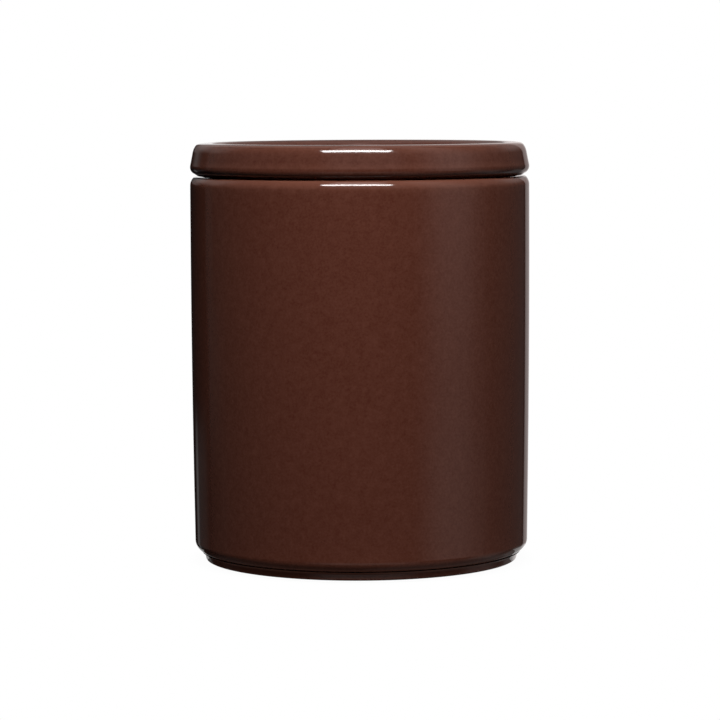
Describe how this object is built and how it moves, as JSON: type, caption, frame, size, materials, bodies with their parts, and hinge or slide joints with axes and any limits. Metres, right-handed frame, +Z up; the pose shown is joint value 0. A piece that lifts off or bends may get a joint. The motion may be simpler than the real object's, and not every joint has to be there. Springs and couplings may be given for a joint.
{
  "type": "ceramic storage jar",
  "caption": "Round glazed ceramic jar with a straight wall and a low foot ring, closed by a flat recessed lid that lifts off and turns on a silicone seal ring.",
  "frame": {"origin": "middle of the foot ring's contact plane, on the jar's axis", "axes": "+Z up along the axis of the jar and its lid; the jar is round, so +X and +Y are free, and the picture looks along +Y"},
  "size_m": [0.12, 0.12, 0.1478],
  "materials": {
    "glaze": "glossy chocolate-brown glaze",
    "seal_silicone": "satin milky silicone"
  },
  "bodies": {
    "jar": {"jar_body": "glaze"},
    "seal": {"lid_seal_ring": "seal_silicone"},
    "lid": {"lid": "glaze"}
  },
  "joints": [
    {"name": "lid_lift", "type": "slide", "parent": "jar", "child": "seal", "axis": [0, 0, 1], "range_m": [0, 0.12]},
    {"name": "lid_turn", "type": "hinge", "parent": "seal", "child": "lid", "pos_m": [0, 0, 0.1363], "axis": [0, 0, 1], "continuous": true}
  ]
}
